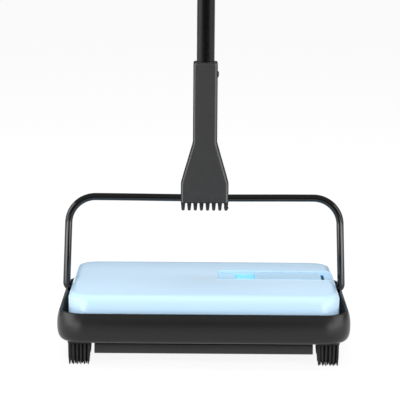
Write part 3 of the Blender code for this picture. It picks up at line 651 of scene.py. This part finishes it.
YOKE_LO, YOKE_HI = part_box("yoke_front")
YOKE_SWELL = 0.6 * MM
NECK = 12.3 * MM + YOKE_SWELL
WIDE = YOKE_HI.x + YOKE_SWELL
YOKE_FOOT = YOKE_LO.z
YOKE_TOP = YOKE_HI.z
WIDE_TOP = 179 * MM
NECK_BOTTOM = 223 * MM
DEPTH = 11.2 * MM
YOKE_EDGE = 2.8 * MM
EDGE_STEPS = 7
SOCKET_Z = 249 * MM
SOCKET_RADIUS = 9.8 * MM
SCREWS_Z = (180 * MM, 228 * MM)
COMB_TIP = 150 * MM
BUTTON_Z = 295.6 * MM


def yoke_outline(inset, steps=12):
    """The yoke seen from the front, drawn in by inset all round."""
    half = [(WIDE, YOKE_FOOT), (WIDE, WIDE_TOP)]
    span = NECK_BOTTOM - WIDE_TOP
    for i in range(1, steps):
        t = i / steps
        bow = 0.92 * t + 0.08 * t * t * (3 - 2 * t)
        half.append((WIDE + (NECK - WIDE) * bow, WIDE_TOP + span * t))
    half += [(NECK, NECK_BOTTOM), (NECK, YOKE_TOP)]
    half = [(x - inset, min(max(z, YOKE_FOOT + 0.5 * inset), YOKE_TOP - inset)) for x, z in half]
    points = half + [(-x, z) for x, z in reversed(half)]
    radii = [0.0] * len(points)
    for corner, r in ((0, 1.2), (len(half) - 1, 2.2), (len(half), 2.2), (len(points) - 1, 1.2)):
        radii[corner] = r * MM
    return fillet(points, radii, 5)


def yoke_half(name, front, node_name):
    """One half shell with a rounded rim, the tube's socket and the bail's groove."""
    bm = bmesh.new()
    rings = [(0.12 * MM, 0.0), (DEPTH - YOKE_EDGE, 0.0)]
    for k in range(1, EDGE_STEPS + 1):
        a = pi / (2 * EDGE_STEPS) * k
        rings.append((DEPTH - YOKE_EDGE * (1 - sin(a)), YOKE_EDGE * (1 - cos(a))))
    rings = [[bm.verts.new((x, front * y, z)) for x, z in yoke_outline(inset)]
             for y, inset in rings]
    bm.faces.new(rings[0])
    bm.faces.new(rings[-1])
    for near, far in zip(rings, rings[1:]):
        for i in range(len(near)):
            j = (i + 1) % len(near)
            bm.faces.new((near[i], near[j], far[j], far[i]))
    half = from_bmesh(name, bm, 32)
    drill(half, SOCKET_RADIUS, SOCKET_Z, YOKE_TOP + 5 * MM, steps=72)
    drill(half, 4.3 * MM, -60 * MM, 60 * MM, (0, 0, BAIL_TOP), "x")
    drill(half, 4 * MM, 5 * MM, 20 * MM, (0, 0, BUTTON_Z), "x")
    if front > 0:
        for z in SCREWS_Z:
            drill(half, 2.5 * MM, 5 * MM, 20 * MM, (0, 0, z), "y", 24)
    shade(half, 32)
    wear(half, "yoke", "handle", node_name)
    paint_edge_highlight_and_shade(half)


def paint_edge_highlight_and_shade(half):
    """A painted highlight along the rounded long edges, and painted shade on the side and foot
    outside it.
    """
    for look in ("yoke_edge_highlight", "yoke_side_shade"):
        half.data.materials.append(MAT[look])
    for face in half.data.polygons:
        turned = face.normal
        side_on = abs(turned.x) > 0.08
        line_ends = 0.9975 if turned.x > 0 else 0.97
        # Painted highlight on the rounded long edges; painted shade on the sides and the foot.
        if side_on and 0.8 < abs(turned.y) < line_ends:
            face.material_index = 1
        elif abs(turned.y) < 0.98 and (side_on or turned.z < -0.1):
            face.material_index = 2


def comb():
    """Eight tapered teeth with round roots between them; the last one ends in a bead."""
    teeth, root, tip = 8, 4.9 * MM, 3.9 * MM
    pitch = (2 * WIDE - root) / (teeth - 1)
    gap = (pitch - root) / 2
    base = YOKE_FOOT - 0.2 * MM - gap
    points = [(WIDE, YOKE_FOOT + 3 * MM)]
    for i in reversed(range(teeth)):
        x = -WIDE + root / 2 + pitch * i
        points += [(x + root / 2, base)]
        points += arc((x, COMB_TIP + 0.7 * MM), tip / 2, 0, -180, 6)[1:-1]
        points += [(x - root / 2, base)]
        if i:
            points += arc((x - pitch / 2, base), gap, 0, 180, 6)[1:-1]
    points.append((-WIDE, YOKE_FOOT + 3 * MM))
    strip = prism("comb", points, "y", 0.6 * MM, 5 * MM)
    soften(strip, 0.25 * MM, 2, 50)
    wear(strip, "yoke", "handle")
    radius, steps = 2.5 * MM, 16
    profile = [(radius * sin(pi * i / steps), radius * cos(pi * i / steps))
               for i in range(steps + 1)]
    profile[0], profile[-1] = (0, radius), (0, -radius)
    at = (YOKE_HI.x - 1.6 * MM, 2.7 * MM, COMB_TIP + 1.7 * MM)
    bead = lathe("comb_bead", profile, at, steps=32)
    wear(bead, "yoke", "handle")


def yoke():
    """Both half shells, the comb, the screws and the snap button."""
    yoke_half("yoke_front_shell", -1, "yoke_front")
    yoke_half("yoke_back_shell", 1, "yoke_back")
    comb()
    for i, z in enumerate(SCREWS_Z):
        screw_head(f"yoke_screw_head_{i + 1}", (0, 9.7 * MM, z), "y", 2.0 * MM, "handle",
                   f"yoke_screw_{i + 1}")
    profile = [(0, 14.3), (1.6, 14.25), (2.9, 13.9), (3.5, 13.2), (3.7, 12.3), (3.7, 6), (5, 6),
               (5, 4.5), (0, 4.5)]
    button = lathe("button", [(r * MM, h * MM) for r, h in profile], (0, 0, BUTTON_Z), "x", 48)
    wear(button, "yoke", "button", "snap_button")


def screw_head(name, at, axis, radius, body, *replaced):
    """A pan head with a crossed recess."""
    profile = [(0, 0), (radius * 0.6, -0.05 * radius), (radius * 0.9, -0.25 * radius),
               (radius, -0.5 * radius), (radius, -0.9 * radius), (0, -0.9 * radius)]
    head = lathe(name, profile, steps=32)
    for turn in (0, pi / 2):
        bar = block("cross", (-0.62 * radius, -0.13 * radius, -0.42 * radius),
                    (0.62 * radius, 0.13 * radius, radius))
        bar.data.transform(Matrix.Rotation(turn + 0.4, 4, "Z"))
        cut(head, bar)
    head.data.transform(Matrix.Translation(at) @ AXES[axis])
    wear(shade(head, 35), "steel", body, *replaced)


# ---------------------------------------------------------------- tubes, grip and loop

def handle_parts():
    """Three tubes, two couplers, the grip and its hanging loop."""
    for name in ("lower_tube", "middle_tube", "upper_tube"):
        tube(name)
    for name in ("lower_coupler", "upper_coupler"):
        coupler(name)
    grip()
    loop()


def tube(name):
    """A thin-walled tube with a small bevel at each end."""
    lo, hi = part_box(name)
    outer, edge, wall = hi.x, 0.3 * MM, MM
    profile = [(outer - edge, hi.z), (outer, hi.z - edge), (outer, lo.z + edge),
               (outer - edge, lo.z), (outer - wall, lo.z), (outer - wall, hi.z)]
    wear(lathe(name + "_steel", profile, steps=96), "tube", "handle", name)


def coupler(name):
    """A sleeve over a tube joint with five ring grooves."""
    lo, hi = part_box(name)
    outer, middle = hi.x, (lo.z + hi.z) / 2
    half, taper, pitch, depth = (hi.z - lo.z) / 2, 6 * MM, 4 * MM, 0.5 * MM
    outline = [(SOCKET_RADIUS, half), (outer - MM, half), (outer, half - taper)]
    for k in range(-2, 3):
        z = -k * pitch
        outline += [(outer, z + 1.1 * MM), (outer - depth, z + 0.6 * MM),
                    (outer - depth, z - 0.6 * MM), (outer, z - 1.1 * MM)]
    outline += [(outer, taper - half), (outer - MM, -half), (SOCKET_RADIUS, -half)]
    profile = [(r, z + middle) for r, z in fillet(outline, 0.35 * MM, 2)]
    wear(lathe(name + "_sleeve", profile, steps=96), "grip", "handle", name)


def grip():
    """A domed sleeve with a slow swell and ring grooves, open at the foot for the tube."""
    lo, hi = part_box("grip")
    seat = 1030.5 * MM
    stations, grooves = 120, 22
    span = hi.z - lo.z
    outside = []
    for i in range(stations + 1):
        t = i / stations
        z = hi.z - 3 * MM - (span - 5 * MM) * t
        swell = 13.4 * MM + 1.4 * MM * sin(pi * t) - 0.6 * MM * t
        in_band = 0.12 < t < 0.88
        groove = 0.45 * MM * max(0.0, sin(tau * t * grooves)) ** 2 if in_band else 0.0
        outside.append((swell - groove, z))
    dome = [(0, hi.z), (9 * MM, hi.z), (12 * MM, hi.z - 0.6 * MM), (13 * MM, hi.z - 1.6 * MM)]
    profile = dome + outside + [(12 * MM, lo.z), (SOCKET_RADIUS, lo.z), (SOCKET_RADIUS, seat),
                                (0, seat)]
    wear(lathe("grip_sleeve", profile, steps=96), "grip", "handle", "grip")


def loop():
    """A flat tab with a round head and a hole to hang it by."""
    lo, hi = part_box("hanging_loop")
    wide = hi.x
    centre = (0, hi.z - wide)
    outline = [(wide, lo.z), *arc(centre, wide, 0, 180, 32), (-wide, lo.z)]
    tab = prism("loop_tab", outline, "y", -4.5 * MM, 4.5 * MM)
    drill(tab, 6 * MM, -10 * MM, 10 * MM, (0, 0, centre[1]), "y", 40)
    shade(tab, 35)
    soften(tab, MM, 4, 50)
    wear(tab, "grip", "handle", "hanging_loop")


# ---------------------------------------------------------------- bristles

def fibres(name, strands, radius, sides=4):
    """Thin tapered bristles through their (root, middle, tip) points."""
    bm = bmesh.new()
    for strand in strands:
        along = (strand[2] - strand[0]).normalized()
        across = along.orthogonal().normalized()
        other = along.cross(across)
        rings = []
        for centre, scale in zip(strand, (1.0, 0.97, 0.82)):
            rings.append([bm.verts.new(centre + radius * scale * (across * cos(tau * k / sides)
                                                                  + other * sin(tau * k / sides)))
                          for k in range(sides)])
        for near, far in zip(rings, rings[1:]):
            for k in range(sides):
                n = (k + 1) % sides
                bm.faces.new((near[k], near[n], far[n], far[k]))
        bm.faces.new(list(reversed(rings[0])))
        bm.faces.new(rings[-1])
    return from_bmesh(name, bm, 60)


def corner_brushes():
    """Six by six bundles of bristles under each corner, drawn in a little at the tips; the inner
    bundles are darker, as painted shade.
    """
    dice = Random(11)
    cells, per_bundle = 6, 20
    bundle, thickness = 1.05 * MM, 0.4 * MM
    for end, side in CORNERS:
        where = f"{end}_{side}"
        lo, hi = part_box(f"corner_bristles_{where}")
        centre = (lo + hi) / 2
        pitch = (hi.x - lo.x - 2 * bundle - 2 * thickness) / (cells - 1)
        strands, hidden = [], []
        for i in range(cells):
            for j in range(cells):
                dx = (i - (cells - 1) / 2) * pitch
                dy = (j - (cells - 1) / 2) * pitch
                inner_row = 0 < j < cells - 1
                if inner_row and i < cells - 1:
                    dx += 0.5 * pitch * (j % 2)
                lean = Vector((-dx * 0.05, -dy * 0.05, 0))
                lean += Vector((dice.uniform(-0.3, 0.3), dice.uniform(-0.3, 0.3), 0)) * MM
                group = hidden if inner_row and 0 < i < cells - 1 else strands
                for _ in range(per_bundle):
                    a, r = dice.uniform(0, tau), bundle * sqrt(dice.random())
                    off = Vector((r * cos(a), r * sin(a), 0))
                    top = Vector((centre.x + dx, centre.y + dy, hi.z))
                    short = dice.uniform(0, 0.6) * MM + 0.7 * r
                    low = Vector((top.x, top.y, lo.z + short))
                    knee = top.lerp(low, 0.62) + off + lean * 0.4
                    group.append((top + off, knee, low + off * 0.6 + lean))
        # The inner bundles wear a darker tone: painted shade for the shadow inside the tuft.
        core = fibres(f"corner_tuft_core_{where}", hidden, thickness)
        wear(core, "bristle_core_shade", "base")
        tuft = fibres(f"corner_tuft_{where}", strands, thickness)
        wear(tuft, "bristle", "base", f"corner_bristles_{where}")
        holder_lo, holder_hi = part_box(f"corner_brush_holder_{where}")
        outline = fillet([(holder_lo.x, holder_lo.y), (holder_hi.x, holder_lo.y),
                          (holder_hi.x, holder_hi.y), (holder_lo.x, holder_hi.y)], 3 * MM, 5)
        holder = prism(f"corner_holder_{where}", outline, "z", holder_lo.z, holder_hi.z)
        soften(holder, 0.5 * MM, 2)
        wear(holder, "bumper", "base", f"corner_brush_holder_{where}")


BRUSH_Z = 28 * MM


def brush():
    """Core with its drums, and four helical rows of bristle tufts."""
    dice = Random(5)
    drum, core, journal, bore = 12 * MM, 9 * MM, 5 * MM, 2.3 * MM
    half_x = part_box("brush_core")[1].x
    half = [(bore, half_x), (drum - 0.8 * MM, half_x)]
    knurls = 6
    for i in range(knurls):
        x = half_x - MM - i * 1.3 * MM
        half += [(drum, x), (drum, x - 0.7 * MM), (drum - 0.3 * MM, x - MM)]
    drum_x, core_x = 120 * MM, 112 * MM
    half += [(drum - 0.5 * MM, drum_x), (journal, drum_x - 0.2 * MM),
             (journal, core_x + 0.2 * MM), (core - 0.5 * MM, core_x),
             (core, core_x - 0.5 * MM)]
    profile = half + [(r, -h) for r, h in reversed(half)]
    spindle = lathe("brush_spindle", profile, (0, 0, BRUSH_Z), "x", 64)
    wear(spindle, "wheel", "brush", "brush_core")
    twist, rows, tufts, per_tuft = radians(75), 4, 40, 13
    inner, outer, reach = core - MM, 27.3 * MM, 108 * MM
    for row in range(rows):
        strands = []
        for i in range(tufts):
            x = -reach + 2 * reach * i / (tufts - 1)
            base = tau * row / rows + twist * (x / (2 * reach))
            for _ in range(per_tuft):
                a = base + dice.uniform(-0.11, 0.11)
                dx = dice.uniform(-1.7, 1.7) * MM
                out = Vector((0, -sin(a), cos(a)))
                root = Vector((x + dx * 0.6, 0, BRUSH_Z)) + out * inner
                length = outer - dice.uniform(0, 0.8) * MM
                tip = Vector((x + dx * 1.3, 0, BRUSH_Z)) + out * length
                middle = root.lerp(tip, 0.5) + Vector((dice.uniform(-0.3, 0.3), 0, 0)) * MM
                strands.append((root, middle, tip))
        tuft = fibres(f"brush_row_{row + 1}", strands, 0.3 * MM)
        wear(tuft, "bristle", "brush", f"bristle_row_{row + 1}")


# ---------------------------------------------------------------- wheels, frames and pans

def wheels():
    """Ribbed tyres on hubs with five webs a side."""
    ribs = webs = 5
    for end, side in CORNERS:
        where = f"{end}_{side}"
        body = f"wheel_{where}"
        lo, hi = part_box(f"wheel_tyre_{where}")
        centre = (lo + hi) / 2
        half = (hi.x - lo.x) / 2
        radius = (hi.z - lo.z) / 2
        inner = 15.8 * MM
        tread = [(inner, half), (radius - MM, half), (radius - 0.25 * MM, half - 0.7 * MM)]
        for k in range(ribs):
            x = half - 1.3 * MM - k * (2 * half - 2.6 * MM) / (ribs - 1)
            tread += [(radius, x + 0.5 * MM), (radius, x - 0.5 * MM)]
            if k < ribs - 1:
                tread += [(radius - 0.45 * MM, x - 0.75 * MM), (radius - 0.45 * MM, x - 0.95 * MM)]
        tread += [(radius - 0.25 * MM, 0.7 * MM - half), (radius - MM, -half), (inner, -half)]
        tyre = lathe(f"tyre_{where}", tread, centre, "x", 72, 30)
        wear(tyre, "tyre", body, f"wheel_tyre_{where}")
        r, bore = inner - 0.3 * MM, 2.3 * MM
        side_line = [(bore, half - 0.2 * MM), (5 * MM, half - 0.2 * MM), (6 * MM, half - 2 * MM),
                     (r - 2.5 * MM, half - 2 * MM), (r - 1.5 * MM, half - 0.8 * MM),
                     (r, half - MM)]
        hub = lathe(f"hub_{where}", side_line + [(a, -b) for a, b in reversed(side_line)],
                    centre, "x", 72, 30)
        wear(hub, "wheel", body, f"wheel_hub_{where}")
        for k in range(webs):
            a = tau * k / webs + 0.3
            for face in (-1, 1):
                x0, x1 = sorted((face * (half - 2.1 * MM), face * (half - 0.6 * MM)))
                web = block(f"hub_web_{where}_{k + 1}_{'outer' if face > 0 else 'inner'}",
                            (x0, 4.6 * MM, -0.6 * MM), (x1, r - 1.4 * MM, 0.6 * MM))
                web.data.transform(Matrix.Translation(centre) @ Matrix.Rotation(a, 4, "X"))
                soften(web, 0.3 * MM, 2)
                wear(web, "wheel", body)


def steel_and_frames():
    """CAD pieces whose shape is right get their finish."""
    looks = {"steel": ["lever_pin", "brush_axle", "brush_bush_left", "brush_bush_right",
                       "front_pan_rod", "rear_pan_rod"]
             + [f"wheel_axle_{end}_{side}" for end, side in CORNERS],
             "inner": ["end_frame_left", "end_frame_right", "release_frame"]}
    for look, names in looks.items():
        for name in names:
            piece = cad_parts[name]
            for slot in piece.material_slots:
                slot.material = MAT[look]


# name: axis, turns, wire radius in mm, and where it is pressed, the joint and its travel
SPRINGS = {"release_spring_left": ("z", 5, 0.7, "release_drop", 8 * MM),
           "release_spring_right": ("z", 5, 0.7, "release_drop", 8 * MM),
           "front_pan_spring": ("x", 5, 0.5, None, 0),
           "rear_pan_spring": ("x", 5, 0.5, None, 0),
           "button_spring": ("x", 4, 0.4, "button_press", 2.5 * MM)}


def springs():
    """Smooth coils in place of the frame's coarse ones. The three with a joint get a mesh of their
    own.
    """
    per_turn = 24
    for name, (axis, turns, wire, joint, travel) in SPRINGS.items():
        lo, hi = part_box(name)
        centre = (lo + hi) / 2
        wire *= MM
        length = (hi.z - lo.z if axis == "z" else hi.x - lo.x) - 2 * wire
        radius = (hi.y - lo.y) / 2 - wire
        points = []
        for i in range(turns * per_turn + 1):
            a, along = tau * i / per_turn, length * (i / (turns * per_turn) - 0.5)
            across = (radius * cos(a), radius * sin(a))
            off = (along, *across) if axis == "x" else (*across, along)
            points.append(tuple(centre + Vector(off)))
        curve = round_wire(name + "_coil", points, wire, sides=3)
        data = as_mesh(curve)
        bpy.data.objects.remove(curve)
        coil = add(name + "_coil", data)
        wear(coil, "steel", "handle" if name == "button_spring" else "base", name)
        if joint:
            along = (1, 0, 0) if axis == "x" else (0, 0, 1)
            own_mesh(coil)


PAN_FACE_Y = 85 * MM
PAN_BOTTOM = 11.6 * MM
PAN_HINGE = (80 * MM, 31 * MM)
PAN_LIP = (31 * MM, 20 * MM)


def pan(end):
    """A tray with a rounded keel, a lip by the brush, two end walls and shallow outside ribs."""
    front = ENDS[end]
    node_name = f"{end}_dustpan"
    half_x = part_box(node_name)[1].x
    face, low, rim, wall = PAN_FACE_Y, PAN_BOTTOM, 22.4 * MM, 2 * MM
    lip_y, lip_z = PAN_LIP
    outline = [(face, rim), (face, low), (40 * MM, low), PAN_LIP,
               (lip_y + MM, lip_z + 1.7 * MM), (41.2 * MM, low + wall),
               (face - wall, low + wall), (face - wall, rim)]
    section = fillet(outline, [0.9 * MM, 3 * MM, 4 * MM, 0.6 * MM, 0.6 * MM, 3 * MM, 1.2 * MM,
                               0.5 * MM], 5)
    tray = prism(f"{end}_pan_tray", [(front * y, z) for y, z in section], "x",
                 -half_x, half_x)
    soften(tray, 0.7 * MM, 3, 50)
    wear(tray, "pan", f"{end}_pan", node_name)
    hinge_y, hinge_z = PAN_HINGE
    side_wall = [(face - 0.2 * MM, 21 * MM), (face - 2 * MM, 33 * MM),
                 (hinge_y + 1.5 * MM, hinge_z + 3.7 * MM),
                 (hinge_y - 2.5 * MM, hinge_z + 3.2 * MM), (hinge_y - 4 * MM, hinge_z),
                 (60 * MM, hinge_z), (56 * MM, 42 * MM),
                 (40 * MM, 44 * MM), (lip_y + MM, 34 * MM),
                 (lip_y + 0.3 * MM, lip_z), (40.3 * MM, low + 0.3 * MM),
                 (face - 3 * MM, low + 0.3 * MM)]
    spots = [(front * y, z) for y, z in fillet(side_wall, MM, 3)]
    for name, side in SIDES.items():
        levels = sorted((side * (half_x - wall), side * (half_x - 0.1 * MM)))
        cheek = prism(f"{end}_pan_cheek_{name}", spots, "x", *levels)
        wear(cheek, "pan", f"{end}_pan")
    for i, x in enumerate((-38 * MM, 38 * MM)):
        y0, y1 = sorted((front * 42 * MM, front * (face - MM)))
        rib = block(f"{end}_pan_rib_{i + 1}", (x - 0.9 * MM, y0, low + MM),
                    (x + 0.9 * MM, y1, low + 5 * MM))
        wear(rib, "pan", f"{end}_pan")


# ---------------------------------------------------------------- studio

def matte(name, grey):
    """A plain material for the stage, and its shader."""
    made = bpy.data.materials.new(name)
    made.use_nodes = True
    shader = made.node_tree.nodes["Principled BSDF"]
    shader.inputs["Base Color"].default_value = (grey, grey, grey, 1)
    return made, shader


def stage_and_light():
    """A pale floor and soft lamps.

    The black flag on the floor and the low strips and cards at the sides are seen only in
    reflections: they give the bumper its dark band and its pale corners.
    """
    floor = block("studio_floor", (-14, -14, -0.02), (14, 14, 0))
    paint, shader = matte("studio_white", 0.12)
    shader.inputs["Roughness"].default_value = 0.9
    shader.inputs["Specular IOR Level"].default_value = 0.1
    shader.inputs["Emission Color"].default_value = (1, 1, 1, 1)
    shader.inputs["Emission Strength"].default_value = 0.9
    floor.data.materials.append(paint)
    flag = block("studio_flag", (-4, -9, 0.001), (4, -0.35, 0.002))
    flag.data.materials.append(matte("studio_black", 0.02)[0])
    flag.visible_camera = flag.visible_diffuse = flag.visible_shadow = False
    for lamp in (area("top_box", (0, 0.5, 2.2), (0, 0, 0.05), (1.8, 1.4), 3.4),
                 area("front_box", (0, -2.4, 1.5), (0, 0, 0.1), (2.6, 0.8), 6.6)):
        lamp.visible_glossy = False
    area("left_wall", (-1.3, -0.4, 0.55), (0, -0.4, 0.55), (1.4, 0.9), 2.5)
    area("right_wall", (1.3, -0.55, 0.55), (0, -0.55, 0.55), (1.3, 0.9), 1.7)
    for name, side in SIDES.items():
        strip = area(f"{name}_strip", (side * 0.42, -0.46, 0.06), (0, -0.46, 0.06),
                     (0.72, 0.12), 2.0)
        card = area(f"{name}_card", (side * 0.56, -0.6, 0.004), (side * 0.56, -0.6, 1),
                    (0.68, 0.7), 3.5)
        strip.visible_diffuse = card.visible_diffuse = False


def sky():
    """A grey world, dark at the horizon and below it, and brightest a little above it."""
    world = bpy.data.worlds.new("studio")
    bpy.context.scene.world = world
    world.use_nodes = True
    tree = world.node_tree
    place = tree.nodes.new("ShaderNodeTexCoord")
    parts = tree.nodes.new("ShaderNodeSeparateXYZ")
    ramp = tree.nodes.new("ShaderNodeValToRGB")
    levels = [(0.0, 0.05), (0.135, 0.05), (0.2, 0.65), (0.4, 0.35), (0.85, 0.35)]
    while len(ramp.color_ramp.elements) < len(levels):
        ramp.color_ramp.elements.new(0.5)
    for stop, (height, value) in zip(ramp.color_ramp.elements, levels):
        stop.position = height
        stop.color = (value, value, value, 1)
    tree.links.new(place.outputs["Generated"], parts.inputs["Vector"])
    tree.links.new(parts.outputs["Z"], ramp.inputs["Fac"])
    tree.links.new(ramp.outputs["Color"], tree.nodes["Background"].inputs["Color"])


def area(name, at, towards, size, radiance):
    """A rectangular lamp of a given radiance that the camera doesn't see."""
    data = bpy.data.lights.new(name, "AREA")
    data.shape = "RECTANGLE"
    data.size, data.size_y = size
    data.energy = radiance * pi * size[0] * size[1]
    lamp = add(name, data)
    lamp.location = at
    lamp.rotation_euler = (Vector(at) - Vector(towards)).to_track_quat("Z", "Y").to_euler()
    lamp.visible_camera = False
    return lamp


EYE = (-0.0049, -2.150, 0.5068)
LOOK_DOWN = radians(9.15)
ROLL = radians(0.42)
LENS_MM = 183.3


def camera():
    """A long lens a little above the sweeper, looking slightly down, with a slight roll."""
    data = bpy.data.cameras.new("camera")
    data.sensor_width = 36
    data.lens = LENS_MM
    data.clip_end = 50
    eye = add("camera", data)
    turn = Matrix.Rotation(pi / 2 - LOOK_DOWN, 4, "X") @ Matrix.Rotation(ROLL, 4, "Z")
    eye.matrix_world = Matrix.Translation(EYE) @ turn
    bpy.context.scene.camera = eye
    bpy.context.scene.view_settings.view_transform = "Standard"


def main():
    camera()
    stage_and_light()
    sky()
    for make in (housing, cover, lever, bail, yoke, handle_parts, corner_brushes, brush, wheels,
                 steel_and_frames, springs):
        make()
    for end in ENDS:
        pan(end)


main()
